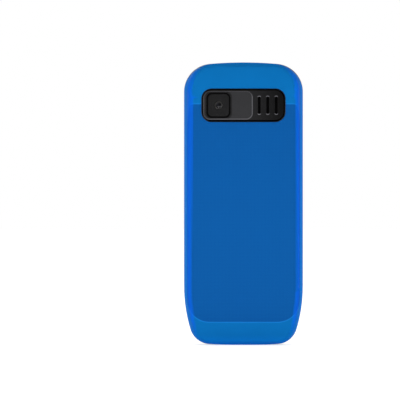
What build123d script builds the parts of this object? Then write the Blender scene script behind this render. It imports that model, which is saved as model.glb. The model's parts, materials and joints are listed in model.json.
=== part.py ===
from build123d import *
import os
from math import sqrt

os.makedirs("parts", exist_ok=True)

# Outline of the phone, upright on its bottom end, with the screen facing -Y
height = 116.0
width = 48.8
top_crown = 1.76
top_corner_radius = 11.5
foot_width = 6.0
bottom_crown = 0.75
bottom_corner_radius = 8.5
lower_taper_height = 24.0
lower_taper_inset = 4.65

# Bevel round the front face
bevel_depth = 2.9
bevel_side = 1.8
bevel_top = 2.4
bevel_bottom = 5.0

# Rounded back, and the seam between the front housing and the cover
back_side_draft = 2.4
back_end_draft = 0.25
back_edge_cut = 1.5
back_top_radius = 42.0
back_top_drop = 3.1
back_bottom_radius = 29.0
back_bottom_drop = 5.8
seam_depth = 7.5
seam_gap = 0.3
seam_rise = 2.6
seam_rise_radius = 36.0

# Clearances
fit_gap = 0.15
moving_gap = 0.3
cut_overrun = 1.0
quarter_turn = 90

# Thicknesses, from the front face to the back
housing_wall = 1.4
window_thickness = 0.85
foam_thickness = 0.3
panel_glass_thickness = 1.3
backlight_thickness = 1.0
board_thickness = 0.9
component_height = 1.75
chassis_floor_thickness = 0.8
battery_thickness = 5.5
cover_wall = 1.2

# Depths of the stacked layers behind the front face
display_front = housing_wall + foam_thickness
display_back = display_front + panel_glass_thickness + backlight_thickness
board_front = display_back + fit_gap
board_back = board_front + board_thickness
chassis_front = board_back + component_height + fit_gap
chassis_floor = chassis_front + chassis_floor_thickness
battery_front = chassis_floor + fit_gap
battery_back = battery_front + battery_thickness
body_depth = battery_back + moving_gap + cover_wall
chassis_inset = cover_wall + moving_gap
chassis_back = body_depth - chassis_inset
board_inset = housing_wall + moving_gap

# Camera and loudspeaker panel, a rounded island that passes through the cover
panel_proud = 0.6
panel_side = 7.6
panel_height = 12.9
panel_radius = 3.8
panel_from_top = 17.8
panel_wall = 0.9
panel_plate = 1.2
panel_seat = 1.1
panel_edge = 0.35
island_gap = 0.45
panel_width = width - 2 * panel_side
panel_z = height - panel_from_top
panel_back = body_depth + panel_proud
panel_front = chassis_back - panel_seat
plate_front = panel_back - panel_plate
front_y = -panel_back / 2

# Pocket in the panel, with the camera window in it
pocket_width = 19.9
pocket_height = 11.3
pocket_radius = 2.4
pocket_depth = 0.25
pocket_margin = 0.5
pocket_x = panel_width / 2 - pocket_margin - pocket_width / 2
camera_margin = 1.2
camera_window_width = 9.8
camera_x = pocket_x + pocket_width / 2 - camera_margin - camera_window_width / 2
camera_window_height = 10.3
camera_window_radius = 2.2
camera_window_thickness = 0.6
camera_view_radius = 3.2
camera_size = 7.4
camera_body_height = 3.2
camera_barrel_radius = 2.6
camera_barrel_height = 1.3
camera_lens_radius = 1.5
camera_lens_depth = 0.5
camera_flex_width = 3.7
camera_flex_foot = 3.6
camera_slot_height = 0.6
ribbon_thickness = 0.15

# Loudspeaker slots
slot_width = 1.1
slot_height = 7.2
slot_pitch = 3.48
slot_count = 3
speaker_width = 11.2
speaker_margin = 0.38
speaker_x = speaker_width / 2 + speaker_margin + panel_wall - panel_width / 2
speaker_height = 10.5
speaker_corner = 1.4
speaker_thickness = 3.2
mesh_thickness = 0.15
mesh_margin = 0.8

# Clip tongues inside the cover's long sides
tongue_width = 5.0
tongue_thickness = 0.8
tongue_reach = 1.1
tongue_root = 1.9
tongue_bite = 0.3
tongue_pitch = 24.0
tongue_middle = 58.0

# Display window and display
window_side = 4.9
window_width = width - 2 * window_side
window_height_share = 0.4236
window_height = window_height_share * (height - bevel_top - bevel_bottom)
window_radius = 2.6
earpiece_band = 9.1
window_top = height - bevel_top - earpiece_band
window_low = window_top - window_height
window_z = (window_top + window_low) / 2
view_end = 5.5
view_height = window_height - 2 * view_end
view_rise = 1.2
view_margin = 0.8
view_radius = 0.6
view_z = window_z + view_rise
display_side = 2.2
display_width = window_width - 2 * display_side
view_side = 3.3
view_width = display_width - 2 * view_side
display_end = 1.25
display_height = window_height - 2 * display_end
backlight_margin = 0.4
foam_width = 1.6
display_flex_width = 16.0
display_flex_reach = 1.2

# Earpiece behind its slot above the window
earpiece_slot_width = 9.0
earpiece_slot_height = 1.1
earpiece_width = 12.0
earpiece_height = 6.0
earpiece_thickness = 2.0
earpiece_z = window_top + earpiece_band / 2 - earpiece_slot_height / 2

# Keys
key_margin = 3.6
tile_gap = 0.35
digit_rows = 4
digit_columns = 3
digit_zone_rise = 6.25
nav_zone_gap = 1.45
nav_height = 13.5
nav_width = 14.6
nav_radius = 3.0
ok_size = 6.2
ok_radius = 1.8
key_zone_radius = 4.0
key_recess = 0.1
key_edge = 0.3
key_skirt = 0.5
key_travel = 0.3
key_back = housing_wall + key_skirt
key_zone_width = width - 2 * bevel_side - 2 * key_margin
key_width = (key_zone_width - (digit_columns - 1) * tile_gap) / digit_columns
column_pitch = key_width + tile_gap
nav_top = window_low - nav_zone_gap
nav_z = nav_top - nav_height / 2
digit_low = bevel_bottom + digit_zone_rise
digit_top = nav_top - nav_height - tile_gap
key_height = (digit_top - digit_low - (digit_rows - 1) * tile_gap) / digit_rows
row_pitch = key_height + tile_gap
key_zone_height = nav_top - digit_low
key_zone_z = (nav_top + digit_low) / 2
side_key_width = (key_zone_width - nav_width) / 2 - tile_gap
side_key_height = (nav_height - tile_gap) / 2
side_key_x = (key_zone_width - side_key_width) / 2
side_key_rise = (side_key_height + tile_gap) / 2

# Rocker behind the navigation ring
ring_tilt_gap = 0.4
nub_sides = 8
ring_nub_radius = 0.9
ring_nub_reach = 5.0
nav_pad_size = 8.6
nav_pad_thickness = 0.45
nav_pad_front = key_back + key_travel + ring_tilt_gap
stem_radius = 1.5

# Keypad mat and domes
mat_thickness = 0.35
mat_margin = 1.2
mat_front = key_back + key_travel + fit_gap
mat_back = mat_front + mat_thickness
dome_radius = 2.0
dome_height = 0.35
dome_slope = 45
film_thickness = 0.1
dome_back = board_front - film_thickness
dome_front = dome_back - dome_height
plunger_radius = 1.0
plunger_sides = 8
dome_sides = 8
plunger_gap = 0.12
nub_back = dome_front - ring_tilt_gap

# Screws, their bosses and their holes
screw_sides = 12
screw_radius = 0.7
screw_head_radius = 1.3
screw_head_height = 0.7
screw_engagement = 2.2
pilot_gap = 0.05
boss_radius = 1.4
head_gap = 0.15
screw_from_side = 5.1
screw_side = width / 2 - screw_from_side
screw_top_from_top = 15.5
screw_low_from_side = 8.8
screw_low_x = width / 2 - screw_low_from_side
screw_low = 7.3
screw_places = []
for side in (-1, 1):
    screw_places.append((side * screw_side, height - screw_top_from_top))
    screw_places.append((side * screw_low_x, screw_low))

# Battery, its bay and its connector
battery_side = 7.4
battery_width = width - 2 * battery_side
battery_low = 30.3
battery_edge = 1.2
battery_from_panel = 8.0
battery_top = panel_z - panel_height / 2 - battery_from_panel
battery_length = battery_top - battery_low
battery_z = (battery_top + battery_low) / 2
bay_gap = 0.25
finger_radius = 6.0
finger_depth = 3.2
terminal_count = 3
terminal_pitch = 2.6
terminal_width = 1.6
terminal_height = 2.4
terminal_thickness = 0.12
connector_width = 9.0
connector_height = 3.6
connector_rise = 3.4
connector_x = -7.0
spring_width = 0.8
spring_thickness = 0.2
spring_gap = 0.05

# Board parts
socket_gap = 0.5
socket_side = 2.15
socket_width = (battery_width - socket_gap) / 2 - socket_side
socket_length_share = 0.3
socket_length = socket_length_share * battery_length
socket_wall = 0.2
socket_height = 1.4
card_width = 13.0
card_length_share = 0.27
card_length = card_length_share * battery_length
sockets_rise = 1.7
notch_radius = 2.8
can_width = socket_width
can_length_share = 0.32
can_length = can_length_share * battery_length
can_wall = 0.2
can_height = 1.3
chip_size = 3.2
chip_height = 0.8
chip_pitch = 5.0
chip_columns = 3
chip_rows = 2

# Micro-USB socket in the bottom end, sunk in the board's thickness
usb_width = 7.5
usb_depth = 2.45
usb_corner = 0.6
usb_length = 5.2
usb_inset = 0.6
usb_wall = 0.25
usb_tongue_width = 4.4
usb_tongue_depth = 0.6
usb_centre = (board_front + board_back) / 2

# 3.5 mm audio socket in the top end
jack_bore_radius = 1.8
jack_collar_radius = 2.3
jack_width = 6.0
jack_depth = 5.0
jack_length = 12.0
jack_bore_length = 14.0
jack_collar_inset = 0.3
jack_centre = display_back + fit_gap + jack_depth / 2
jack_low = height - jack_bore_length - jack_collar_inset

# Microphone beside the USB socket
microphone_x = 9.8
microphone_width = 3.6
microphone_height = 2.8
microphone_thickness = 1.1
sound_hole_radius = 0.5

# Vibration motor below the battery
motor_radius = 2.0
motor_length = 8.0
motor_inset = 4.5
motor_from_battery = 6.6
shaft_radius = 0.4
weight_radius = 1.8
weight_length = 3.0
weight_gap = 0.4
weight_flat = 0.7
motor_x = motor_inset - battery_width / 2
motor_z = battery_low - motor_from_battery
motor_centre = board_back + motor_radius + fit_gap

# Antenna film on the chassis
film_sheet = 0.1
film_low = 2.6
film_side = 9.4
film_width = width - 2 * film_side
film_height = 9.0
film_slot = 1.6

seam_y = front_y + seam_depth
back_y = front_y + body_depth


def layer(depth):
    """Plane facing the front, at this depth behind the front face; its Y runs up the phone."""
    return Plane.XZ.offset(-front_y - depth)


def save(builder, name):
    builder.part.label = name
    export_step(builder.part, f"parts/{name}.step")


# Outer form
def outline(depth, side, top, bottom, corner_inset=0):
    """Closed outline at one depth, drawn in by side, top and bottom."""
    half = width / 2 - side
    high = height - top
    foot = foot_width / 2
    heel = (half - lower_taper_inset, bottom + bottom_crown)
    with BuildSketch(layer(depth)) as sketch:
        with BuildLine():
            Line((0, bottom), (foot, bottom))
            TangentArc((foot, bottom), heel, tangent=(1, 0))
            TangentArc((half, lower_taper_height), heel, tangent=(0, -1))
            Line((half, lower_taper_height), (half, high - top_crown))
            mirror(about=Plane.YZ)
            ThreePointArc((half, high - top_crown), (0, high), (-half, high - top_crown))
        make_face()
        fillet(sketch.vertices().group_by(Axis.Y)[-1], top_corner_radius - corner_inset)
        fillet(sketch.vertices().group_by(Axis.Y)[1], bottom_corner_radius - corner_inset)
    return sketch.sketch


def side_profile(inset):
    """Side view of the body, with both ends of the back rounded off."""
    top_run = sqrt(back_top_radius**2 - (back_top_radius - back_top_drop) ** 2)
    bottom_run = sqrt(back_bottom_radius**2 - (back_bottom_radius - back_bottom_drop) ** 2)
    top_edge = (back_y - back_top_drop, height)
    bottom_edge = (back_y - back_bottom_drop, 0)
    with BuildSketch(Plane.YZ) as profile:
        with BuildLine():
            Polyline(bottom_edge, (front_y, 0), (front_y, height), top_edge)
            TangentArc((back_y, height - top_run), top_edge, tangent=(0, 1))
            Line((back_y, height - top_run), (back_y, bottom_run))
            TangentArc((back_y, bottom_run), bottom_edge, tangent=(0, -1))
        make_face()
        if inset:
            offset(amount=-inset, kind=Kind.INTERSECTION)
    return profile.sketch


def back_rim(form):
    """Edges that run round the back, without the cross joins of its flat."""
    behind_seam = form.edges().filter_by(lambda edge: edge.center().Y > seam_y + cut_overrun)
    far_back = back_y - back_bottom_drop - cut_overrun
    rim = behind_seam.filter_by(lambda edge: (edge @ 0).Y > far_back and (edge @ 1).Y > far_back)
    return rim - rim.filter_by(GeomType.LINE).filter_by(Axis.X)


def body_form(inset, edge_cut=0):
    """Whole body without its openings, drawn in all round by inset."""
    front = outline(inset, bevel_side + inset, bevel_top + inset, bevel_bottom + inset, bevel_side + inset)
    middle = outline(bevel_depth, inset, inset, inset, inset)
    seam = outline(seam_depth, inset, inset, inset, inset)
    end = back_end_draft + inset
    back = outline(body_depth - inset, back_side_draft + inset, end, end, end)
    with BuildPart() as form:
        loft(sections=[front, middle])
        extrude(middle, amount=bevel_depth - seam_depth)
        loft(sections=[seam, back])
        extrude(side_profile(inset), amount=width, both=True, mode=Mode.INTERSECT)
        if edge_cut:
            chamfer(back_rim(form), edge_cut)
    return form.part


def behind_seam(shift):
    """Side view of everything behind the seam; the seam runs back near the top end."""
    rise_run = sqrt(seam_rise_radius**2 - (seam_rise_radius - seam_rise) ** 2)
    bend = (seam_y + shift, height - rise_run)
    end = (seam_y + seam_rise + shift, height)
    far = back_y + cut_overrun
    with BuildSketch(Plane.YZ) as area:
        with BuildLine():
            Line((bend[0], -cut_overrun), bend)
            TangentArc(bend, end, tangent=(0, 1))
            Polyline(end, (end[0], height + cut_overrun), (far, height + cut_overrun),
                     (far, -cut_overrun), (bend[0], -cut_overrun))
        make_face()
    return area.sketch


housing_cavity = body_form(housing_wall)
cover_cavity = body_form(cover_wall)
chassis_form = body_form(chassis_inset)


# Places of the keys: name, x, z, width, height
digit_names = ["star", "0", "hash", "7", "8", "9", "4", "5", "6", "1", "2", "3"]
key_places = []
for place, digit in enumerate(digit_names):
    column = place % digit_columns - (digit_columns - 1) / 2
    row = place // digit_columns
    key_z = digit_low + key_height / 2 + row * row_pitch
    key_places.append((f"key_{digit}", column * column_pitch, key_z, key_width, key_height))
side_keys = [("soft_key_left", -1, 1), ("soft_key_right", 1, 1), ("call_key", -1, -1), ("end_key", 1, -1)]
for name, side, rise in side_keys:
    key_z = nav_z + rise * side_key_rise
    key_places.append((name, side * side_key_x, key_z, side_key_width, side_key_height))
ring_nub_places = [(ring_nub_reach, 0), (-ring_nub_reach, 0), (0, ring_nub_reach), (0, -ring_nub_reach)]
dome_places = [(x, z) for name, x, z, key_w, key_h in key_places]
dome_places += [(x, nav_z + z) for x, z in ring_nub_places + [(0, 0)]]


# Front housing: a moulded tray with the bevelled face, the key openings and the screw bosses
with BuildPart() as front_housing:
    add(body_form(0))
    extrude(behind_seam(-seam_gap / 2), amount=width, both=True, mode=Mode.SUBTRACT)
    add(housing_cavity, mode=Mode.SUBTRACT)
    with BuildSketch(layer(board_front)):
        with Locations(screw_places):
            RegularPolygon(boss_radius, screw_sides)
    extrude(amount=board_front - housing_wall / 2)
    with BuildSketch(layer(board_front)):
        with Locations(screw_places):
            RegularPolygon(screw_radius + pilot_gap, screw_sides)
    extrude(amount=screw_engagement, mode=Mode.SUBTRACT)
    # Recess for the window and the opening behind it
    with BuildSketch(layer(window_thickness)):
        with Locations((0, window_z)):
            RectangleRounded(window_width, window_height, window_radius)
    extrude(amount=window_thickness, mode=Mode.SUBTRACT)
    with BuildSketch(layer(housing_wall)):
        with Locations((0, view_z)):
            RectangleRounded(view_width + 2 * view_margin, view_height + 2 * view_margin, view_radius)
        with Locations((0, earpiece_z)):
            SlotOverall(earpiece_slot_width, earpiece_slot_height)
        with Locations((0, key_zone_z)):
            RectangleRounded(key_zone_width + 2 * moving_gap, key_zone_height + 2 * moving_gap,
                             key_zone_radius + moving_gap)
    extrude(amount=housing_wall, mode=Mode.SUBTRACT)
    # Openings in both ends
    with BuildSketch(Plane.XY):
        with Locations((0, front_y + usb_centre)):
            RectangleRounded(usb_width + 2 * fit_gap, usb_depth + 2 * fit_gap, usb_corner + fit_gap)
        with Locations((microphone_x, front_y + board_back + microphone_thickness / 2)):
            Circle(sound_hole_radius)
    extrude(amount=2 * housing_wall, both=True, mode=Mode.SUBTRACT)
    with BuildSketch(Plane.XY.offset(height)):
        with Locations((0, front_y + jack_centre)):
            Circle(jack_collar_radius + fit_gap)
    extrude(amount=2 * housing_wall, both=True, mode=Mode.SUBTRACT)
save(front_housing, "front_housing")

# Rear cover: a thin wrap-round shell with its island opening and clip tongues
tongue_places = [tongue_middle + step * tongue_pitch for step in (-1, 0, 1)]
with BuildPart() as rear_cover:
    add(body_form(0, back_edge_cut))
    extrude(behind_seam(seam_gap / 2), amount=width, both=True, mode=Mode.INTERSECT)
    add(cover_cavity, mode=Mode.SUBTRACT)
    with BuildSketch(layer(body_depth)):
        with Locations((0, panel_z)):
            RectangleRounded(panel_width + 2 * island_gap, panel_height + 2 * island_gap,
                             panel_radius + island_gap)
    extrude(amount=body_depth - seam_depth, mode=Mode.SUBTRACT)
    tongue_outer = width / 2 - housing_wall - moving_gap
    root_outer = width / 2 - cover_wall + tongue_bite
    tongue_inner = tongue_outer - tongue_thickness
    root_back = seam_depth + seam_gap / 2 + tongue_root
    for side in (-1, 1):
        for z in tongue_places:
            with BuildSketch(layer(root_back)):
                with Locations((side * (root_outer + tongue_inner) / 2, z)):
                    Rectangle(root_outer - tongue_inner, tongue_width)
            extrude(amount=tongue_root)
            with BuildSketch(layer(seam_depth + seam_gap / 2)):
                with Locations((side * (tongue_outer + tongue_inner) / 2, z)):
                    Rectangle(tongue_thickness, tongue_width)
            extrude(amount=seam_gap / 2 + tongue_reach)
save(rear_cover, "rear_cover")

# Rear chassis: carries the battery, the island and the sockets, and screws to the front housing
speaker_front = plate_front - mesh_thickness - speaker_thickness
camera_front = plate_front - camera_barrel_height - camera_body_height
connector_z = battery_top + bay_gap + spring_thickness + spring_gap + connector_height / 2
card_z = battery_low + sockets_rise + socket_length + socket_gap + card_length / 2
sockets_z = battery_low + sockets_rise + socket_length / 2
socket_places = [(side * (socket_width + socket_gap) / 2, sockets_z) for side in (-1, 1)]
motor_pocket_length = motor_length + weight_gap + weight_length + 2 * moving_gap
with BuildPart() as rear_chassis:
    add(chassis_form)
    with BuildSketch(layer(chassis_front)):
        with Locations((0, height / 2)):
            Rectangle(width + 2 * cut_overrun, height + 2 * cut_overrun)
    extrude(amount=chassis_front + cut_overrun, mode=Mode.SUBTRACT)
    with BuildSketch(layer(chassis_front)):
        with Locations(screw_places):
            RegularPolygon(boss_radius, screw_sides)
    extrude(amount=chassis_front - board_back)
    # Battery bay with its finger notch, and the window for the connector
    with BuildSketch(layer(chassis_back)):
        with Locations((0, battery_z)):
            Rectangle(battery_width + 2 * bay_gap, battery_length + 2 * bay_gap)
    extrude(amount=chassis_back - chassis_floor, mode=Mode.SUBTRACT)
    with BuildSketch(layer(chassis_back)):
        with Locations((0, battery_low)):
            Circle(finger_radius)
    extrude(amount=finger_depth, mode=Mode.SUBTRACT)
    with BuildSketch(layer(chassis_back)):
        with Locations((connector_x, connector_z)):
            Rectangle(connector_width + 2 * fit_gap, connector_height + 2 * fit_gap + 2 * bay_gap)
    extrude(amount=chassis_back - chassis_front, mode=Mode.SUBTRACT)
    # Windows over the card sockets in the bay's floor
    with BuildSketch(layer(chassis_floor)):
        with Locations(socket_places):
            Rectangle(socket_width - 2 * socket_gap, socket_length - 2 * socket_gap)
        with Locations((0, card_z)):
            Rectangle(card_width - 2 * socket_gap, card_length - 2 * socket_gap)
    extrude(amount=chassis_floor_thickness, mode=Mode.SUBTRACT)
    # Seat for the island, with the wells for the loudspeaker and the camera
    with BuildSketch(layer(chassis_back)):
        with Locations((0, panel_z)):
            RectangleRounded(panel_width + 2 * fit_gap, panel_height + 2 * fit_gap, panel_radius + fit_gap)
    extrude(amount=panel_seat, mode=Mode.SUBTRACT)
    with BuildSketch(layer(panel_front)):
        with Locations((speaker_x, panel_z)):
            Rectangle(speaker_width + 2 * fit_gap, speaker_height + 2 * fit_gap)
    extrude(amount=panel_front - speaker_front, mode=Mode.SUBTRACT)
    with BuildSketch(layer(panel_front)):
        with Locations((camera_x, panel_z)):
            Rectangle(camera_size + 2 * fit_gap, camera_size + 2 * fit_gap)
    extrude(amount=panel_front - camera_front, mode=Mode.SUBTRACT)
    # Slot for the camera's ribbon
    flex_z = panel_z - camera_size / 2 - fit_gap
    with BuildSketch(layer(panel_front)):
        with Locations((camera_x, flex_z)):
            Rectangle(camera_flex_width + 2 * fit_gap, camera_slot_height)
    extrude(amount=panel_front - chassis_front, mode=Mode.SUBTRACT)
    # Channel for the audio socket, open at the front and the top
    with BuildSketch(Plane.XY.offset(jack_low - fit_gap)):
        with Locations((0, front_y + jack_centre)):
            Rectangle(jack_width + 2 * fit_gap, jack_depth + 2 * fit_gap)
    extrude(amount=height - jack_low, mode=Mode.SUBTRACT)
    # Pocket for the vibration motor, open at the front
    with BuildSketch(layer(motor_centre)):
        with Locations((motor_x + (weight_gap + weight_length) / 2, motor_z)):
            Rectangle(motor_pocket_length, 2 * motor_radius + 2 * moving_gap)
    extrude(amount=motor_centre - chassis_front, mode=Mode.SUBTRACT)
    with BuildSketch(Plane.YZ.offset(motor_x - motor_length / 2 - moving_gap)):
        with Locations((front_y + motor_centre, motor_z)):
            Circle(motor_radius + moving_gap)
    extrude(amount=motor_pocket_length, mode=Mode.SUBTRACT)
    # Notches for the cover's tongues, open at the back
    for side in (-1, 1):
        for z in tongue_places:
            with BuildSketch(layer(chassis_back)):
                with Locations((side * (tongue_inner - moving_gap + width / 2) / 2, z)):
                    Rectangle(width / 2 - tongue_inner + moving_gap, tongue_width + 2 * moving_gap)
            extrude(amount=chassis_back - chassis_front, mode=Mode.SUBTRACT)
    # Screw holes with deep counterbores
    with BuildSketch(layer(chassis_back)):
        with Locations(screw_places):
            RegularPolygon(screw_head_radius + head_gap, screw_sides)
    extrude(amount=chassis_back - chassis_floor, mode=Mode.SUBTRACT)
    with BuildSketch(layer(chassis_floor)):
        with Locations(screw_places):
            RegularPolygon(screw_radius + fit_gap, screw_sides)
    extrude(amount=chassis_floor - board_back, mode=Mode.SUBTRACT)
save(rear_chassis, "rear_chassis")

with BuildPart() as chassis_screws:
    with BuildSketch(layer(chassis_floor)):
        with Locations(screw_places):
            RegularPolygon(screw_radius, screw_sides)
    extrude(amount=chassis_floor - board_front + screw_engagement - fit_gap)
    with BuildSketch(layer(chassis_floor + screw_head_height)):
        with Locations(screw_places):
            RegularPolygon(screw_head_radius, screw_sides)
    extrude(amount=screw_head_height)
save(chassis_screws, "chassis_screws")

# Island: plate, skirt, pocket and slots
with BuildPart() as camera_panel:
    with BuildSketch(layer(panel_back)):
        with Locations((0, panel_z)):
            RectangleRounded(panel_width, panel_height, panel_radius)
    extrude(amount=panel_back - panel_front)
    chamfer(camera_panel.faces().sort_by(Axis.Y)[-1].edges(), panel_edge)
    with BuildSketch(layer(plate_front)):
        with Locations((0, panel_z)):
            RectangleRounded(panel_width - 2 * panel_wall, panel_height - 2 * panel_wall,
                             panel_radius - panel_wall)
    extrude(amount=plate_front - panel_front, mode=Mode.SUBTRACT)
    with BuildSketch(layer(panel_back)):
        with Locations((pocket_x, panel_z)):
            RectangleRounded(pocket_width, pocket_height, pocket_radius)
    extrude(amount=pocket_depth, mode=Mode.SUBTRACT)
    with BuildSketch(layer(panel_back)):
        with Locations((camera_x, panel_z)):
            RectangleRounded(camera_window_width + fit_gap, camera_window_height + fit_gap,
                             camera_window_radius)
    extrude(amount=pocket_depth + camera_window_thickness, mode=Mode.SUBTRACT)
    with BuildSketch(layer(panel_back)):
        with Locations((camera_x, panel_z)):
            Circle(camera_view_radius)
    extrude(amount=panel_plate, mode=Mode.SUBTRACT)
    slot_half = (slot_count - 1) / 2
    slot_places = [(speaker_x + (index - slot_half) * slot_pitch, panel_z) for index in range(slot_count)]
    with BuildSketch(layer(panel_back)):
        with Locations(slot_places):
            SlotOverall(slot_height, slot_width, rotation=quarter_turn)
    extrude(amount=panel_plate, mode=Mode.SUBTRACT)
save(camera_panel, "camera_panel")

with BuildPart() as camera_window:
    with BuildSketch(layer(panel_back - pocket_depth)):
        with Locations((camera_x, panel_z)):
            RectangleRounded(camera_window_width, camera_window_height, camera_window_radius)
    extrude(amount=camera_window_thickness)
save(camera_window, "camera_window")

with BuildPart() as camera_module:
    with BuildSketch(layer(camera_front + camera_body_height)):
        with Locations((camera_x, panel_z)):
            Rectangle(camera_size, camera_size)
    extrude(amount=camera_body_height)
    with BuildSketch(layer(camera_front + camera_body_height + camera_barrel_height)):
        with Locations((camera_x, panel_z)):
            Circle(camera_barrel_radius)
    extrude(amount=camera_barrel_height)
    with BuildSketch(layer(plate_front)):
        with Locations((camera_x, panel_z)):
            Circle(camera_lens_radius + fit_gap)
    extrude(amount=2 * camera_lens_depth, mode=Mode.SUBTRACT)
save(camera_module, "camera_module")

with BuildPart() as camera_lens:
    with BuildSketch(layer(plate_front - camera_lens_depth)):
        with Locations((camera_x, panel_z)):
            Circle(camera_lens_radius)
    extrude(amount=camera_lens_depth)
    chamfer(camera_lens.faces().sort_by(Axis.Y)[-1].edges(), camera_lens_depth / 2)
save(camera_lens, "camera_lens")

# Ribbon from the camera to the board: down the slot, then a short foot on the board
with BuildPart() as camera_flex:
    flex_high = panel_z - camera_size / 2 - fit_gap / 2
    foot_low = flex_high - camera_flex_foot
    with BuildSketch(Plane.YZ.offset(camera_x - camera_flex_width / 2)):
        with BuildLine():
            Polyline((front_y + camera_front + camera_body_height, flex_high),
                     (front_y + board_back, flex_high),
                     (front_y + board_back, foot_low),
                     (front_y + board_back + ribbon_thickness, foot_low),
                     (front_y + board_back + ribbon_thickness, flex_high - ribbon_thickness),
                     (front_y + camera_front + camera_body_height, flex_high - ribbon_thickness), close=True)
        make_face()
    extrude(amount=camera_flex_width)
save(camera_flex, "camera_flex")

# Loudspeaker and its mesh behind the slots
with BuildPart() as loudspeaker:
    with BuildSketch(layer(speaker_front + speaker_thickness)) as speaker_outline:
        with Locations((speaker_x, panel_z)):
            Rectangle(speaker_width, speaker_height)
        chamfer(speaker_outline.vertices(), speaker_corner)
    extrude(amount=speaker_thickness)
    with BuildSketch(layer(speaker_front + speaker_thickness)):
        with Locations((speaker_x, panel_z)):
            Rectangle(speaker_width - 2 * mesh_margin, speaker_height - 2 * mesh_margin)
    extrude(amount=2 * mesh_thickness, mode=Mode.SUBTRACT)
save(loudspeaker, "loudspeaker")

with BuildPart() as speaker_mesh:
    with BuildSketch(layer(plate_front)) as mesh_outline:
        with Locations((speaker_x, panel_z)):
            Rectangle(speaker_width - mesh_margin, speaker_height - mesh_margin)
        chamfer(mesh_outline.vertices(), speaker_corner)
    extrude(amount=mesh_thickness)
save(speaker_mesh, "speaker_mesh")

# Display
with BuildPart() as display_window:
    with BuildSketch(layer(window_thickness)):
        with Locations((0, window_z)):
            RectangleRounded(window_width - 2 * fit_gap, window_height - 2 * fit_gap, window_radius - fit_gap)
    extrude(amount=window_thickness)
save(display_window, "display_window")

with BuildPart() as display_foam:
    foam_inner_width = view_width + 2 * view_margin
    foam_inner_height = view_height + 2 * view_margin
    with BuildSketch(layer(display_front)):
        with Locations((0, view_z)):
            Rectangle(foam_inner_width + 2 * foam_width, foam_inner_height + 2 * foam_width)
            Rectangle(foam_inner_width, foam_inner_height, mode=Mode.SUBTRACT)
    extrude(amount=foam_thickness)
save(display_foam, "display_foam")

with BuildPart() as display_panel:
    with BuildSketch(layer(display_front + panel_glass_thickness)):
        with Locations((0, window_z)):
            Rectangle(display_width, display_height)
    extrude(amount=panel_glass_thickness)
save(display_panel, "display_panel")

with BuildPart() as display_backlight:
    with BuildSketch(layer(display_back)):
        with Locations((0, window_z)):
            Rectangle(display_width + 2 * backlight_margin, display_height + 2 * backlight_margin)
    extrude(amount=backlight_thickness)
save(display_backlight, "display_backlight")

# Ribbon from the display's lower edge to the board
with BuildPart() as display_flex:
    display_low = window_z - display_height / 2 - backlight_margin
    glass_low = window_z - display_height / 2
    glass_back = front_y + display_front + panel_glass_thickness
    board_y = front_y + board_front
    reach_low = display_low - display_flex_reach
    with BuildSketch(Plane.YZ.offset(-display_flex_width / 2)):
        with BuildLine():
            Polyline((glass_back, glass_low), (glass_back - ribbon_thickness, glass_low),
                     (glass_back - ribbon_thickness, reach_low), (board_y, reach_low),
                     (board_y, display_low - ribbon_thickness),
                     (board_y - ribbon_thickness, display_low - ribbon_thickness),
                     (board_y - ribbon_thickness, reach_low + ribbon_thickness),
                     (glass_back, reach_low + ribbon_thickness), close=True)
        make_face()
    extrude(amount=display_flex_width)
save(display_flex, "display_flex")

with BuildPart() as earpiece:
    with BuildSketch(layer(housing_wall + mesh_thickness + earpiece_thickness)):
        with Locations((0, earpiece_z)):
            Rectangle(earpiece_width, earpiece_height)
    extrude(amount=earpiece_thickness)
save(earpiece, "earpiece")

with BuildPart() as earpiece_mesh:
    with BuildSketch(layer(housing_wall + mesh_thickness)):
        with Locations((0, earpiece_z)):
            Rectangle(earpiece_slot_width + mesh_margin, earpiece_slot_height + 2 * mesh_margin)
    extrude(amount=mesh_thickness)
save(earpiece_mesh, "earpiece_mesh")

# Keys: tiles in one rounded opening; those in its corners are rounded with it
for name, x, z, key_w, key_h in key_places:
    with BuildPart() as key:
        with BuildSketch(layer(key_back)):
            with Locations((x, z)):
                Rectangle(key_w, key_h)
            with Locations((0, key_zone_z)):
                RectangleRounded(key_zone_width, key_zone_height, key_zone_radius, mode=Mode.INTERSECT)
        extrude(amount=key_back - key_recess)
        chamfer(key.faces().sort_by(Axis.Y)[0].edges(), key_edge)
    save(key, name)

# Navigation ring with four nubs, the rocker pad behind it and the middle key
with BuildPart() as nav_ring:
    with BuildSketch(layer(key_back)):
        with Locations((0, nav_z)):
            RectangleRounded(nav_width, nav_height, nav_radius)
            RectangleRounded(ok_size + 2 * moving_gap, ok_size + 2 * moving_gap, ok_radius + moving_gap,
                             mode=Mode.SUBTRACT)
    extrude(amount=key_back - key_recess)
    chamfer(nav_ring.faces().sort_by(Axis.Y)[0].outer_wire().edges(), key_edge)
    with BuildSketch(layer(nub_back)):
        with Locations((0, nav_z)):
            with Locations(ring_nub_places):
                RegularPolygon(ring_nub_radius, nub_sides)
    extrude(amount=nub_back - key_back)
save(nav_ring, "nav_ring")

with BuildPart() as nav_pad:
    with BuildSketch(layer(nav_pad_front + nav_pad_thickness)):
        with Locations((0, nav_z)):
            Rectangle(nav_pad_size, nav_pad_size)
            Circle(stem_radius + moving_gap, mode=Mode.SUBTRACT)
            with Locations(ring_nub_places):
                RegularPolygon(ring_nub_radius + moving_gap, nub_sides, mode=Mode.SUBTRACT)
    extrude(amount=nav_pad_thickness)
save(nav_pad, "nav_pad")

with BuildPart() as ok_key:
    with BuildSketch(layer(key_back)):
        with Locations((0, nav_z)):
            RectangleRounded(ok_size, ok_size, ok_radius)
    extrude(amount=key_back - key_recess)
    with BuildSketch(layer(nub_back)):
        with Locations((0, nav_z)):
            Circle(stem_radius)
    extrude(amount=nub_back - key_back)
save(ok_key, "ok_key")

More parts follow.
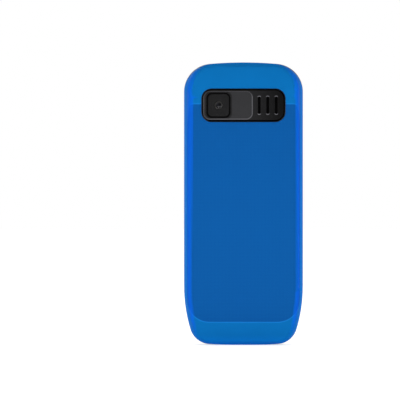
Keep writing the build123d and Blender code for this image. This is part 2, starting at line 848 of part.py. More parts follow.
# Keypad mat with a plunger under each key, then the dome film and the domes
mat_width = key_zone_width + 2 * mat_margin
mat_height = key_zone_height + 2 * mat_margin
plain_places = [(x, z) for name, x, z, key_w, key_h in key_places]
with BuildPart() as keypad_mat:
    with BuildSketch(layer(mat_back)):
        with Locations((0, key_zone_z)):
            RectangleRounded(mat_width, mat_height, key_zone_radius + mat_margin)
        with Locations((0, nav_z)):
            Rectangle(nav_width + 2 * moving_gap, nav_height + 2 * moving_gap, mode=Mode.SUBTRACT)
    extrude(amount=mat_thickness)
    with BuildSketch(layer(dome_front - plunger_gap)):
        with Locations(plain_places):
            RegularPolygon(plunger_radius, plunger_sides)
    extrude(amount=dome_front - plunger_gap - mat_back)
save(keypad_mat, "keypad_mat")

with BuildPart() as dome_film:
    with BuildSketch(layer(board_front)):
        with Locations((0, key_zone_z)):
            Rectangle(key_zone_width - 2 * mat_margin, key_zone_height)
    extrude(amount=film_thickness)
save(dome_film, "dome_film")

with BuildPart() as key_domes:
    with BuildSketch(layer(dome_back)):
        with Locations(dome_places):
            RegularPolygon(dome_radius, dome_sides)
    extrude(amount=dome_height, taper=dome_slope)
save(key_domes, "key_domes")

# Main board, cut out round both sockets
with BuildPart() as main_board:
    extrude(outline(board_back, board_inset, board_inset, board_inset, board_inset), amount=board_thickness)
    with BuildSketch(layer(board_back)):
        with Locations((0, board_inset)):
            Rectangle(usb_width + 2 * fit_gap, 2 * (usb_inset + usb_length - board_inset + fit_gap))
        with Locations((0, height)):
            Rectangle(jack_width + 2 * fit_gap, 2 * (height - jack_low + fit_gap))
        with Locations(screw_places):
            RegularPolygon(screw_radius + fit_gap, screw_sides)
    extrude(amount=board_thickness, mode=Mode.SUBTRACT)
save(main_board, "main_board")

with BuildPart() as board_parts:
    with BuildSketch(layer(board_back + chip_height)):
        with Locations((-motor_x, motor_z)):
            with GridLocations(chip_pitch, chip_pitch, chip_columns, chip_rows):
                Rectangle(chip_size, chip_size)
    extrude(amount=chip_height)
save(board_parts, "board_parts")


# Sheet-metal sockets with a card slot open at the top, and a thumb notch
def card_holder(name, x, z, holder_width, holder_length):
    with BuildPart() as holder:
        with BuildSketch(layer(board_back + socket_height)):
            with Locations((x, z)):
                Rectangle(holder_width, holder_length)
        extrude(amount=socket_height)
        with BuildSketch(layer(board_back + socket_height - socket_wall)):
            with Locations((x, z + socket_wall)):
                Rectangle(holder_width - 2 * socket_wall, holder_length)
        extrude(amount=socket_height - 2 * socket_wall, mode=Mode.SUBTRACT)
        with BuildSketch(layer(board_back + socket_height)):
            with Locations((x, z + holder_length / 2)):
                Circle(notch_radius)
        extrude(amount=socket_wall, mode=Mode.SUBTRACT)
    save(holder, name)


for number, (x, z) in enumerate(socket_places, start=1):
    card_holder(f"sim_socket_{number}", x, z, socket_width, socket_length)
card_holder("card_socket", 0, card_z, card_width, card_length)

# Shield cans between the sockets and the battery connector
cans_z = card_z + card_length / 2 + socket_gap + can_length / 2
for name, side in (("shield_can_left", -1), ("shield_can_right", 1)):
    with BuildPart() as can:
        with BuildSketch(layer(board_back + can_height)):
            with Locations((side * (can_width + socket_gap) / 2, cans_z)):
                Rectangle(can_width, can_length)
        extrude(amount=can_height)
        with BuildSketch(layer(board_back + can_height - can_wall)):
            with Locations((side * (can_width + socket_gap) / 2, cans_z)):
                Rectangle(can_width - 2 * can_wall, can_length - 2 * can_wall)
        extrude(amount=can_height - can_wall, mode=Mode.SUBTRACT)
    save(can, name)

# Battery with rounded long edges, and its terminals in the top end
terminal_half = (terminal_count - 1) / 2
terminal_places = [connector_x + (index - terminal_half) * terminal_pitch for index in range(terminal_count)]
terminal_y = front_y + battery_front + terminal_height / 2 + terminal_width / 2
with BuildPart() as battery:
    with BuildSketch(layer(battery_back)):
        with Locations((0, battery_z)):
            Rectangle(battery_width, battery_length)
    extrude(amount=battery_thickness)
    fillet(battery.edges().filter_by(Axis.Z), battery_edge)
    with BuildSketch(Plane.XY.offset(battery_top)):
        for x in terminal_places:
            with Locations((x, terminal_y)):
                Rectangle(terminal_width, terminal_height)
    extrude(amount=-terminal_thickness, mode=Mode.SUBTRACT)
save(battery, "battery")

with BuildPart() as battery_terminals:
    with BuildSketch(Plane.XY.offset(battery_top)):
        for x in terminal_places:
            with Locations((x, terminal_y)):
                Rectangle(terminal_width, terminal_height)
    extrude(amount=-terminal_thickness)
save(battery_terminals, "battery_terminals")

# Battery connector on the board, with three bent springs
connector_back = battery_front + connector_rise
with BuildPart() as battery_connector:
    with BuildSketch(layer(connector_back)):
        with Locations((connector_x, connector_z)):
            Rectangle(connector_width, connector_height)
    extrude(amount=connector_back - board_back)
save(battery_connector, "battery_connector")

spring_top = connector_z - connector_height / 2
with BuildPart() as connector_springs:
    for x in terminal_places:
        with BuildSketch(layer(connector_back - spring_thickness)):
            with Locations((x, spring_top - spring_thickness / 2)):
                Rectangle(spring_width, spring_thickness)
        extrude(amount=connector_rise - 2 * spring_thickness)
save(connector_springs, "connector_springs")

# Micro-USB socket: an open shell with a tongue
with BuildPart() as usb_socket:
    with BuildSketch(Plane.XY.offset(usb_inset)):
        with Locations((0, front_y + usb_centre)):
            RectangleRounded(usb_width, usb_depth, usb_corner)
    extrude(amount=usb_length)
    with BuildSketch(Plane.XY.offset(usb_inset)):
        with Locations((0, front_y + usb_centre)):
            RectangleRounded(usb_width - 2 * usb_wall, usb_depth - 2 * usb_wall, usb_corner - usb_wall)
    extrude(amount=usb_length - usb_wall, mode=Mode.SUBTRACT)
save(usb_socket, "usb_socket")

with BuildPart() as usb_tongue:
    with BuildSketch(Plane.XY.offset(usb_inset + usb_wall)):
        with Locations((0, front_y + usb_centre)):
            Rectangle(usb_tongue_width, usb_tongue_depth)
    extrude(amount=usb_length - 2 * usb_wall)
save(usb_tongue, "usb_tongue")

# Audio socket: a block with a round collar and a blind bore
with BuildPart() as jack_socket:
    with BuildSketch(Plane.XY.offset(jack_low)):
        with Locations((0, front_y + jack_centre)):
            Rectangle(jack_width, jack_depth)
    extrude(amount=jack_length)
    with BuildSketch(Plane.XY.offset(jack_low + jack_length)):
        with Locations((0, front_y + jack_centre)):
            Circle(jack_collar_radius)
    extrude(amount=jack_bore_length - jack_length)
    with BuildSketch(Plane.XY.offset(height - jack_collar_inset)):
        with Locations((0, front_y + jack_centre)):
            Circle(jack_bore_radius)
    extrude(amount=-jack_bore_length + housing_wall, mode=Mode.SUBTRACT)
save(jack_socket, "jack_socket")

with BuildPart() as microphone:
    microphone_low = board_inset + fit_gap
    with BuildSketch(layer(board_back + microphone_thickness)):
        with Locations((microphone_x, microphone_low + microphone_height / 2)):
            Rectangle(microphone_width, microphone_height)
    extrude(amount=microphone_thickness)
save(microphone, "microphone")

# Vibration motor, and its off-centre weight on the shaft
with BuildPart() as vibration_motor:
    with BuildSketch(Plane.YZ.offset(motor_x - motor_length / 2)):
        with Locations((front_y + motor_centre, motor_z)):
            Circle(motor_radius)
    extrude(amount=motor_length)
    with BuildSketch(Plane.YZ.offset(motor_x + motor_length / 2)):
        with Locations((front_y + motor_centre, motor_z)):
            Circle(shaft_radius)
    extrude(amount=weight_gap + weight_length)
save(vibration_motor, "vibration_motor")

with BuildPart() as motor_weight:
    with BuildSketch(Plane.YZ.offset(motor_x + motor_length / 2 + weight_gap)):
        with Locations((front_y + motor_centre, motor_z)):
            Circle(weight_radius)
            with Locations((0, weight_flat + weight_radius)):
                Rectangle(2 * weight_radius, 2 * weight_radius, mode=Mode.SUBTRACT)
            Circle(shaft_radius + pilot_gap, mode=Mode.SUBTRACT)
    extrude(amount=weight_length)
save(motor_weight, "motor_weight")

# Antenna: a thin slotted film on the lower end of the chassis
with BuildPart() as antenna_film:
    add(body_form(chassis_inset - film_sheet))
    with BuildSketch(layer(body_depth)):
        with Locations((0, film_low + film_height / 2)):
            Rectangle(film_width, film_height)
        with Locations((film_slot, film_low + film_height / 2)):
            Rectangle(film_width - film_slot, film_slot, mode=Mode.SUBTRACT)
    extrude(amount=body_depth - chassis_floor, mode=Mode.INTERSECT)
    add(chassis_form, mode=Mode.SUBTRACT)
save(antenna_film, "antenna_film")
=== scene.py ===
import json
import math

import bpy
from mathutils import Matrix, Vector


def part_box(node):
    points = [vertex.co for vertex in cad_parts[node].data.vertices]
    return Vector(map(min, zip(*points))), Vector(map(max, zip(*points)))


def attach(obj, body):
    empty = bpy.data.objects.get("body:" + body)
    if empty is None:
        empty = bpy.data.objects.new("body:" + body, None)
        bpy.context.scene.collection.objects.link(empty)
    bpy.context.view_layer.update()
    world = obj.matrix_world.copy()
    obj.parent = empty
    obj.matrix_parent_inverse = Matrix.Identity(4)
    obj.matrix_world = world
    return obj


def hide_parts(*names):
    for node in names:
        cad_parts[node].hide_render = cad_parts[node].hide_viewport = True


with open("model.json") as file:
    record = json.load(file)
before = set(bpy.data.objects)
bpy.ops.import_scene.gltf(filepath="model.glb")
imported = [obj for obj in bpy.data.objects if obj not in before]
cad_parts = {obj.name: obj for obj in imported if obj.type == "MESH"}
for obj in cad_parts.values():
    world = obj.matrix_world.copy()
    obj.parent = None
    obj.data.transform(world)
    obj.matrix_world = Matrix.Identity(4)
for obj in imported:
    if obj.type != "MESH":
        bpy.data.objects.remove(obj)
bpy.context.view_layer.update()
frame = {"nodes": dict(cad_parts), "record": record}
MM = 0.001
MICRON = 0.001 * MM

bpy.ops.object.select_all(action="DESELECT")


# Colours and nodes
def linear(code):
    """sRGB hex to the linear values that a shader takes."""
    parts = [int(code[i:i + 2], 16) / 255 for i in (1, 3, 5)]
    return [p / 12.92 if p <= 0.04045 else ((p + 0.055) / 1.055) ** 2.4 for p in parts] + [1.0]


def add(tree, kind, sockets=None, **settings):
    """A node with its settings; a socket takes a value or another node's output."""
    node = tree.nodes.new(kind)
    for name, value in settings.items():
        setattr(node, name, value)
    for name, value in (sockets or {}).items():
        if isinstance(value, bpy.types.NodeSocket):
            tree.links.new(value, node.inputs[name])
        else:
            node.inputs[name].default_value = value
    return node


def blank(name):
    """A material without nodes, and its tree."""
    material = bpy.data.materials.new(name)
    material.use_nodes = True
    material.node_tree.nodes.clear()
    return material, material.node_tree


def place_of(tree):
    """Object coordinates, in metres."""
    return add(tree, "ShaderNodeTexCoord").outputs["Object"]


def noise(tree, place, size, detail):
    """Even noise whose grains are about size mm."""
    return add(tree, "ShaderNodeTexNoise", {"Vector": place, "Scale": 1 / (size * MM),
                                            "Detail": detail}).outputs["Fac"]


def calc(tree, operation, first, second=0.0, third=0.0):
    """One sum on values or on other nodes' outputs."""
    return add(tree, "ShaderNodeMath", {0: first, 1: second, 2: third},
               operation=operation).outputs[0]


def ramp(tree, value, start, end, low=0.0, high=1.0):
    """Goes from low at the start to high at the end, which may lie below the start."""
    return add(tree, "ShaderNodeMapRange", {"Value": value, "From Min": start, "From Max": end,
                                            "To Min": low, "To Max": high}).outputs[0]


def blend(tree, share, first, second):
    """A colour between two, each a code or another node's colour."""
    sockets = {0: share}
    for socket, colour in ((6, first), (7, second)):
        sockets[socket] = linear(colour) if isinstance(colour, str) else colour
    return add(tree, "ShaderNodeMix", sockets, data_type="RGBA").outputs[2]


def output(tree, shader):
    """Makes a shader the surface of its material."""
    add(tree, "ShaderNodeOutputMaterial", {"Surface": shader.outputs[0]})


GRAIN_STRENGTH = 0.6
COAT_ROUGHNESS = 0.12
ROUGHNESS_FALL, ROUGHNESS_RISE = 0.04, 0.05


def surface(name, low, high, rough, patch, grain, depth, coat=0.0, metal=0.0, **sockets):
    """A moulded or rolled surface.

    Its tone changes slowly over patch mm, and it has a fine grain of grain mm, depth mm deep.
    """
    material, tree = blank(name)
    place = place_of(tree)
    tone = noise(tree, place, patch, 4.0)
    bump = add(tree, "ShaderNodeBump", {"Height": noise(tree, place, grain, 3.0),
                                        "Distance": depth * MM, "Strength": GRAIN_STRENGTH})
    values = {
        "Base Color": blend(tree, tone, low, high),
        "Roughness": ramp(tree, tone, 0, 1, rough - ROUGHNESS_FALL, rough + ROUGHNESS_RISE),
        "Normal": bump.outputs[0], "Metallic": metal,
        "Coat Weight": coat, "Coat Roughness": COAT_ROUGHNESS,
    }
    values.update(sockets)
    output(tree, add(tree, "ShaderNodeBsdfPrincipled", values))
    return material


# Spark-eroded ABS moulding: dark grey, with a fine even grain that breaks up reflections
black_abs = surface("black_abs_moulding", "#1f1f20", "#262627", 0.44,
                    patch=6, grain=0.3, depth=0.012, IOR=1.34)
# The same plastic inside, left plainer by the mould maker
inner_abs = surface("inner_abs_moulding", "#26272a", "#2e2f32", 0.55,
                    patch=9, grain=0.5, depth=0.02)
# Dark grey seat round the lens
lens_seat_paint = surface("dark_lens_seat", "#676665", "#737271", 0.5,
                          patch=1.5, grain=0.2, depth=0.003)
# Painted key plastic: smooth satin
key_paint = surface("satin_key_plastic", "#121213", "#18181a", 0.32,
                    patch=5, grain=0.25, depth=0.004, IOR=1.38)
# Pad-printed inks on the keys
digit_ink = surface("white_pad_print_ink", "#dfe2e6", "#eef0f2", 0.5,
                    patch=1, grain=0.1, depth=0.002)
call_ink = surface("green_pad_print_ink", "#1fa548", "#27b552", 0.5,
                   patch=1, grain=0.1, depth=0.002)
end_ink = surface("red_pad_print_ink", "#d2302c", "#de3c36", 0.5,
                  patch=1, grain=0.1, depth=0.002)
# Silicone rubber mat: milky and soft
silicone = surface("milky_silicone_rubber", "#8b8d90", "#999b9e", 0.62,
                   patch=3, grain=0.4, depth=0.01)
# Closed-cell foam: matt black with small pits
foam = surface("closed_cell_foam", "#141415", "#202022", 0.9, patch=0.6, grain=0.25, depth=0.05)
# Polyester film
film = surface("polyester_film", "#b9bbb4", "#c6c8c0", 0.28, patch=8, grain=1.0, depth=0.004)
# Tin-plated steel sheet: soft grey with faint rolling marks
tin_steel = surface("tin_plated_steel", "#a3a6a8", "#b7babc", 0.34,
                    patch=2, grain=0.4, depth=0.004, metal=1.0)
# Stainless spring steel
spring_steel = surface("stainless_spring_steel", "#8f9294", "#a4a7a9", 0.26,
                       patch=2, grain=0.3, depth=0.003, metal=1.0)
# Gold flash over nickel on the contacts
gold = surface("gold_flashed_contact", "#c79a3e", "#d9ae53", 0.24,
               patch=0.8, grain=0.2, depth=0.002, metal=1.0)
# Rolled copper foil of the antenna
copper = surface("rolled_copper_foil", "#a8623c", "#bd7448", 0.32,
                 patch=2, grain=0.3, depth=0.004, metal=1.0)
# Glass-fibre board under green solder mask
board = surface("green_solder_mask_board", "#0f4a2a", "#155a34", 0.36,
                patch=3, grain=0.6, depth=0.006, coat=0.3)
# Moulded epoxy chips
chip = surface("moulded_epoxy_chip", "#151617", "#1d1e20", 0.6,
               patch=1.5, grain=0.15, depth=0.006)
# Polyimide ribbon
polyimide = surface("amber_polyimide_ribbon", "#8a4a12", "#a2611c", 0.3,
                    patch=2, grain=0.5, depth=0.004)
# Heat-shrunk film round the cell
cell_wrap = surface("battery_cell_wrap", "#3c3f43", "#484b4f", 0.42,
                    patch=7, grain=0.9, depth=0.01)
# White moulded frame of the backlight
white_frame = surface("white_backlight_frame", "#cfd0cc", "#dcdcd8", 0.5,
                      patch=4, grain=0.4, depth=0.005)
# Liquid crystal panel, switched off
off_display = surface("switched_off_liquid_crystal", "#08090c", "#0c0e12", 0.12,
                      patch=30, grain=9, depth=0.0005, IOR=1.26)
# Black screen print inside the windows
mask_print = surface("black_screen_print", "#070708", "#0b0b0c", 0.12,
                     patch=30, grain=3, depth=0.0005, IOR=1.2)
# Dark grey screen print inside the camera window
camera_ink = surface("dark_grey_screen_print", "#2c2c2d", "#303031", 0.45,
                     patch=30, grain=3, depth=0.0005, IOR=1.15)
# Ground lens glass over a dark barrel: a little violet from its coating
lens_glass = surface("coated_lens_glass", "#0a0b16", "#14142a", 0.05,
                     patch=2, grain=1.0, depth=0.0005, coat=1.0)
# Turned aluminium ring round the lens
lens_ring_metal = surface("dark_anodised_ring", "#5c5e62", "#6a6c70", 0.25,
                          patch=1, grain=0.1, depth=0.002, metal=1.0)

SHEET_ROUGHNESS = 0.04
HEAD_ON_MIRROR = 0.04


def clear_sheet(name, tint, ior):
    """A thin clear sheet: light passes it straight and tinted, and it mirrors at a slant."""
    material, tree = blank(name)
    backs = add(tree, "ShaderNodeNewGeometry").outputs["Backfacing"]
    fresnel = add(tree, "ShaderNodeFresnel", {"IOR": ior}).outputs[0]
    slant = calc(tree, "MAXIMUM", calc(tree, "SUBTRACT", fresnel, HEAD_ON_MIRROR), 0.0)
    share = calc(tree, "MULTIPLY", slant, calc(tree, "SUBTRACT", 1.0, backs))
    through = add(tree, "ShaderNodeBsdfTransparent", {"Color": linear(tint)})
    mirror = add(tree, "ShaderNodeBsdfGlossy", {"Color": linear("#ffffff"),
                                                "Roughness": SHEET_ROUGHNESS})
    output(tree, add(tree, "ShaderNodeMixShader", {0: share, 1: through.outputs[0],
                                                   2: mirror.outputs[0]}))
    return material


# Cast acrylic windows: clear in front of the display, smoked over the camera
clear_acrylic = clear_sheet("clear_cast_acrylic", "#f2f5f6", ior=1.3)
smoked_acrylic = clear_sheet("smoked_cast_acrylic", "#d1d1d1", ior=1.2)


def outline(tree, x, z, middle, half, corner):
    """Distance from a rounded rectangle in the plane of the back, below zero inside it.

    Its middle and half sizes are in mm, and its corner radius is in metres.
    """
    ways = []
    for axis, place in enumerate((x, z)):
        off = calc(tree, "ABSOLUTE", calc(tree, "SUBTRACT", place, middle[axis] * MM))
        ways.append(calc(tree, "ADD", calc(tree, "SUBTRACT", off, half[axis] * MM), corner))
    past = [calc(tree, "POWER", calc(tree, "MAXIMUM", way, 0.0), 2.0) for way in ways]
    outer = calc(tree, "SQRT", calc(tree, "ADD", *past))
    inner = calc(tree, "MINIMUM", calc(tree, "MAXIMUM", *ways), 0.0)
    return calc(tree, "SUBTRACT", calc(tree, "ADD", outer, inner), corner)


# The cover's dotted field in the plane of the back, in mm
FIELD_Z, FIELD_HALF = 54.15, (23.3, 44.65)
FIELD_LOWER_CORNER, FIELD_UPPER_CORNER = 9.4, 3.0
FIELD_FADE = 0.16           # each side of its outline
FIELD_LINE = 0.32           # half width of the painted highlight line along its outline
FIELD_STEP = 0.08           # depth below the smooth border
SIDE_TURN_Y = 6.2           # where the back turns down to the sides
SIDE_FALL = 2.2             # fall of the field's top for each mm below that
DOT_PITCH = 0.8             # a little coarser than the real 0.5, so that the dots still show
DOT_HEIGHT = 0.05           # share of the field's step
DOT_CONTRAST = 0.32         # share of the way between the field's two blues
GLOSS_PATCH = 14            # slow change of tone on the smooth border
TURNED_LOW, TURNED_HIGH = 0.2, 0.75     # sideways part of the normal where the painted glow sets in
# Heights where the painted glow on the sides sets in, and where the painted glow by the seam fades
GLOW_LOW_Y, GLOW_HIGH_Y = 2.4, 5.0
SEAM_GLOW_LOW_Y, SEAM_GLOW_HIGH_Y = -0.4, 4.0
PAINTED_LINE_SHARE, PAINTED_GLOW_SHARE, PAINTED_SEAM_GLOW_SHARE = 0.45, 0.66, 0.8


def blue_cover(name):
    """Glossy blue polycarbonate, with a finely dotted middle field inside a rounded outline, a
    painted highlight line along that outline, and painted glow on the turned-down sides.
    """
    material, tree = blank(name)
    place = place_of(tree)
    axes = add(tree, "ShaderNodeSeparateXYZ", {0: place})
    x, y, z = axes.outputs["X"], axes.outputs["Y"], axes.outputs["Z"]

    # The field's upper corners run down round the cover's sides
    upper = calc(tree, "GREATER_THAN", z, FIELD_Z * MM)
    below = calc(tree, "MAXIMUM", calc(tree, "SUBTRACT", SIDE_TURN_Y * MM, y), 0.0)
    raised_z = calc(tree, "MULTIPLY_ADD", calc(tree, "MULTIPLY", below, upper), SIDE_FALL, z)
    corner = calc(tree, "MULTIPLY_ADD", upper, (FIELD_UPPER_CORNER - FIELD_LOWER_CORNER) * MM,
                  FIELD_LOWER_CORNER * MM)
    distance = outline(tree, x, raised_z, (0, FIELD_Z), FIELD_HALF, corner)
    field = ramp(tree, distance, FIELD_FADE * MM, -FIELD_FADE * MM)
    # Painted highlight: a brighter blue line along the field's outline, where the step's edge would
    # catch the light
    line = ramp(tree, calc(tree, "ABSOLUTE", distance), FIELD_LINE * MM, 0,
                high=PAINTED_LINE_SHARE)

    # Dots on a diamond grid
    turn = 2 * math.pi / (DOT_PITCH * MM * math.sqrt(2))
    waves = [calc(tree, "SINE", calc(tree, "MULTIPLY", calc(tree, operation, x, z), turn))
             for operation in ("ADD", "SUBTRACT")]
    dots = calc(tree, "MULTIPLY", calc(tree, "MULTIPLY", *waves), field)

    gloss_blue = blend(tree, noise(tree, place, GLOSS_PATCH, 2.0), "#095e9c", "#0b64a5")
    dot_tone = calc(tree, "MULTIPLY_ADD", dots, DOT_CONTRAST, 0.5)
    field_blue = blend(tree, dot_tone, "#0a4382", "#0d5392")
    # The field in the smooth border, with the painted highlight line over both
    colour = blend(tree, line, blend(tree, field, gloss_blue, field_blue), "#1c80d6")

    # Painted highlight: a more violet blue painted on the turned-down sides, and a brighter blue
    # painted towards the seam
    normal = add(tree, "ShaderNodeNewGeometry").outputs["Normal"]
    sideways = add(tree, "ShaderNodeSeparateXYZ", {0: normal}).outputs["X"]
    edge = calc(tree, "MULTIPLY",
                ramp(tree, calc(tree, "ABSOLUTE", sideways), TURNED_LOW, TURNED_HIGH,
                     high=PAINTED_GLOW_SHARE),
                ramp(tree, y, GLOW_LOW_Y * MM, GLOW_HIGH_Y * MM))
    colour = blend(tree, edge, colour, "#0b5fdc")
    seam = ramp(tree, y, SEAM_GLOW_HIGH_Y * MM, SEAM_GLOW_LOW_Y * MM, high=PAINTED_SEAM_GLOW_SHARE)
    colour = blend(tree, seam, colour, "#0678d6")

    height = calc(tree, "ADD", calc(tree, "MULTIPLY", dots, DOT_HEIGHT),
                  calc(tree, "MULTIPLY", field, -1.0))
    bump = add(tree, "ShaderNodeBump", {"Height": height, "Distance": FIELD_STEP * MM,
                                        "Strength": 0.8})
    output(tree, add(tree, "ShaderNodeBsdfPrincipled", {
        "Base Color": colour, "Roughness": ramp(tree, field, 0, 1, 0.27, 0.5),
        "Normal": bump.outputs[0], "IOR": 1.05, "Specular Tint": linear("#2448ff"),
        "Sheen Weight": 0.35, "Sheen Roughness": 0.35, "Sheen Tint": linear("#0a50ff")}))
    return material


# The island's outlines in the plane of the back, in mm
ISLAND_Z, ISLAND_HALF, ISLAND_CORNER = 98.2, (16.8, 6.45), 3.8
POCKET_X, POCKET_HALF, POCKET_CORNER = 6.35, (9.95, 5.65), 2.4
CAMERA_X, CAMERA_HALF, CAMERA_CORNER = 10.2, (4.9, 5.15), 2.0
SLOTS_X, SLOTS_REACH, SLOTS_FADE = -9.92, 5.0, 0.2
SLOT_PITCH, SLOT_HALF, SLOT_CORNER = 3.48, (0.55, 3.6), 0.55
# Where the plate's painted shade starts and where it is darkest, in mm
PLATE_LIGHT_X, PLATE_DARK_X = -3, -15
RIM_START, RIM_FULL = -0.5, -0.3            # painted black shade along the edge, from the island's outline
FLOOR_EDGE = -0.1                           # from the pocket's outline
PAINTED_SHADOW_IN, PAINTED_SHADOW_OUT = 0.55, 0.75          # painted shadow round the window, in the plate's glossier black, from the window's outline
EDGE_OUT, EDGE_IN = 0.26, 0.08              # a painted highlight line on a cut edge fades between these distances
# Where the painted highlight on the pocket's edge is faint and where it is bright
EDGE_FAINT_Z, EDGE_BRIGHT_Z = 103.4, 101.5
EDGE_BRIGHT_X, EDGE_FAINT_X = 13, 16
END_OUT, END_OFFSET = 0.24, 0.14            # fade of the painted highlight at a slot's ends, and how far out it lies
END_START, END_FULL = 3.3, 3.6              # from the island's middle
END_HIGHLIGHT_SHARE = 0.85
ISLAND_PATCH, ISLAND_GRAIN, ISLAND_DEPTH = 4, 0.25, 0.004


def black_island(name):
    """Polished black polycarbonate with a satin pocket floor, painted shade on the plate, along its
    edge and round the window, and painted highlights on the cut edges.
    """
    material, tree = blank(name)
    place = place_of(tree)
    axes = add(tree, "ShaderNodeSeparateXYZ", {0: place})
    x, z = axes.outputs["X"], axes.outputs["Z"]
    island = outline(tree, x, z, (0, ISLAND_Z), ISLAND_HALF, ISLAND_CORNER * MM)
    pocket = outline(tree, x, z, (POCKET_X, ISLAND_Z), POCKET_HALF, POCKET_CORNER * MM)
    window = outline(tree, x, z, (CAMERA_X, ISLAND_Z), CAMERA_HALF, CAMERA_CORNER * MM)
    from_slots = calc(tree, "SUBTRACT", x, SLOTS_X * MM)
    slot_x = calc(tree, "WRAP", from_slots, SLOT_PITCH / 2 * MM, -SLOT_PITCH / 2 * MM)
    slot = outline(tree, slot_x, z, (0, ISLAND_Z), SLOT_HALF, SLOT_CORNER * MM)

    # Painted shade: the plate darkens away from the pocket, and a painted black band of shade runs
    # along the island's edge
    painted_shade_share = ramp(tree, x, PLATE_LIGHT_X * MM, PLATE_DARK_X * MM)
    plate = blend(tree, painted_shade_share, "#1b1b1c", "#060607")
    rim = ramp(tree, island, RIM_START * MM, RIM_FULL * MM)
    plate = blend(tree, rim, plate, "#010101")
    # The satin pocket floor stops short of the window: a painted shadow in the plate's black runs
    # round it
    floor_share = calc(tree, "MULTIPLY", ramp(tree, pocket, 0, FLOOR_EDGE * MM),
                       ramp(tree, window, PAINTED_SHADOW_IN * MM, PAINTED_SHADOW_OUT * MM))
    pocket_floor = blend(tree, noise(tree, place, ISLAND_PATCH, 4.0), "#252527", "#2c2c2e")
    colour = blend(tree, floor_share, plate, pocket_floor)

    # Painted highlights: a light line on the pocket's cut edge, brightest below, and on the rounded
    # ends of the sound slots
    painted_highlight_strength = calc(tree, "MULTIPLY",
                    ramp(tree, z, EDGE_FAINT_Z * MM, EDGE_BRIGHT_Z * MM, 0.25, 0.8),
                    ramp(tree, x, EDGE_BRIGHT_X * MM, EDGE_FAINT_X * MM, 1.0, 0.55))
    cut = calc(tree, "MULTIPLY", painted_highlight_strength, ramp(tree, calc(tree, "ABSOLUTE", pocket),
                                                EDGE_OUT * MM, EDGE_IN * MM))
    from_end = calc(tree, "ABSOLUTE", calc(tree, "SUBTRACT", slot, END_OFFSET * MM))
    from_middle = calc(tree, "ABSOLUTE", calc(tree, "SUBTRACT", z, ISLAND_Z * MM))
    ends = calc(tree, "MULTIPLY", ramp(tree, from_end, END_OUT * MM, EDGE_IN * MM),
                ramp(tree, from_middle, END_START * MM, END_FULL * MM, high=END_HIGHLIGHT_SHARE))
    among_slots = ramp(tree, calc(tree, "ABSOLUTE", from_slots), SLOTS_REACH * MM,
                       (SLOTS_REACH - SLOTS_FADE) * MM)
    ends = calc(tree, "MULTIPLY", ends, among_slots)
    # The painted highlights in light grey
    colour = blend(tree, calc(tree, "MAXIMUM", cut, ends), colour, "#606064")

    bump = add(tree, "ShaderNodeBump", {"Height": noise(tree, place, ISLAND_GRAIN, 3.0),
                                        "Distance": ISLAND_DEPTH * MM,
                                        "Strength": GRAIN_STRENGTH})
    # Almost no reflection in the painted band of shade along the edge
    output(tree, add(tree, "ShaderNodeBsdfPrincipled", {
        "Base Color": colour, "Roughness": ramp(tree, floor_share, 0, 1, 0.28, 0.45),
        "IOR": ramp(tree, rim, 0, 1, 1.15, 1.02), "Normal": bump.outputs[0]}))
    return material


WIRE_PITCH, WIRE_RISE = 0.35, 0.05


def woven_mesh(name):
    """Woven steel cloth behind the sound openings, its wires coloured near black as painted shade
    inside the slots.
    """
    material, tree = blank(name)
    # Near-black wires with little reflection: painted shade inside the slots
    wires = add(tree, "ShaderNodeTexChecker", {
        "Vector": place_of(tree), "Scale": 1 / (WIRE_PITCH * MM),
        "Color1": linear("#0a0a0b"), "Color2": linear("#030303")})
    bump = add(tree, "ShaderNodeBump", {"Height": wires.outputs["Fac"], "Distance": WIRE_RISE * MM})
    output(tree, add(tree, "ShaderNodeBsdfPrincipled", {
        "Base Color": wires.outputs["Color"], "Metallic": 0.2, "Roughness": 0.7, "IOR": 1.1,
        "Normal": bump.outputs[0]}))
    return material


cover_blue = blue_cover("blue_gloss_polycarbonate")
island_pc = black_island("polished_black_polycarbonate")
steel_cloth = woven_mesh("woven_steel_cloth")

# Each CAD node's finish
keys = [f"key_{name}" for name in ("star", "0", "hash", *map(str, range(1, 10)))]
side_keys = ["soft_key_left", "soft_key_right", "call_key", "end_key"]
finishes = {
    black_abs: ["front_housing"],
    cover_blue: ["rear_cover"],
    inner_abs: ["rear_chassis"],
    island_pc: ["camera_panel"],
    key_paint: keys + side_keys + ["nav_ring", "ok_key"],
    silicone: ["keypad_mat", "nav_pad"],
    foam: ["display_foam"],
    film: ["dome_film"],
    steel_cloth: ["speaker_mesh", "earpiece_mesh"],
    tin_steel: ["sim_socket_1", "sim_socket_2", "card_socket", "shield_can_left",
                "shield_can_right", "usb_socket", "microphone", "vibration_motor"],
    spring_steel: ["chassis_screws", "key_domes", "motor_weight"],
    gold: ["battery_terminals", "connector_springs"],
    copper: ["antenna_film"],
    board: ["main_board"],
    chip: ["board_parts", "camera_module", "battery_connector", "usb_tongue", "jack_socket",
           "loudspeaker", "earpiece"],
    polyimide: ["camera_flex", "display_flex"],
    cell_wrap: ["battery"],
    white_frame: ["display_backlight"],
    off_display: ["display_panel"],
    clear_acrylic: ["display_window"],
    smoked_acrylic: ["camera_window"],
    lens_glass: ["camera_lens"],
}
finish_of = {}
for material, names in finishes.items():
    for name in names:
        node = frame["nodes"][name]
        node.data.materials.clear()
        node.data.materials.append(material)
        finish_of[name] = material
body_of = {name: body for body, names in frame["record"]["behaviour"]["bodies"].items()
           for name in names}


# Pieces
def settle(piece, material, body):
    """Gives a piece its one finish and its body."""
    piece.data.materials.clear()
    piece.data.materials.append(material)
    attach(piece, body)
    piece.select_set(False)


def only(piece):
    """Selects one piece and nothing else."""
    bpy.ops.object.select_all(action="DESELECT")
    piece.select_set(True)
    bpy.context.view_layer.objects.active = piece


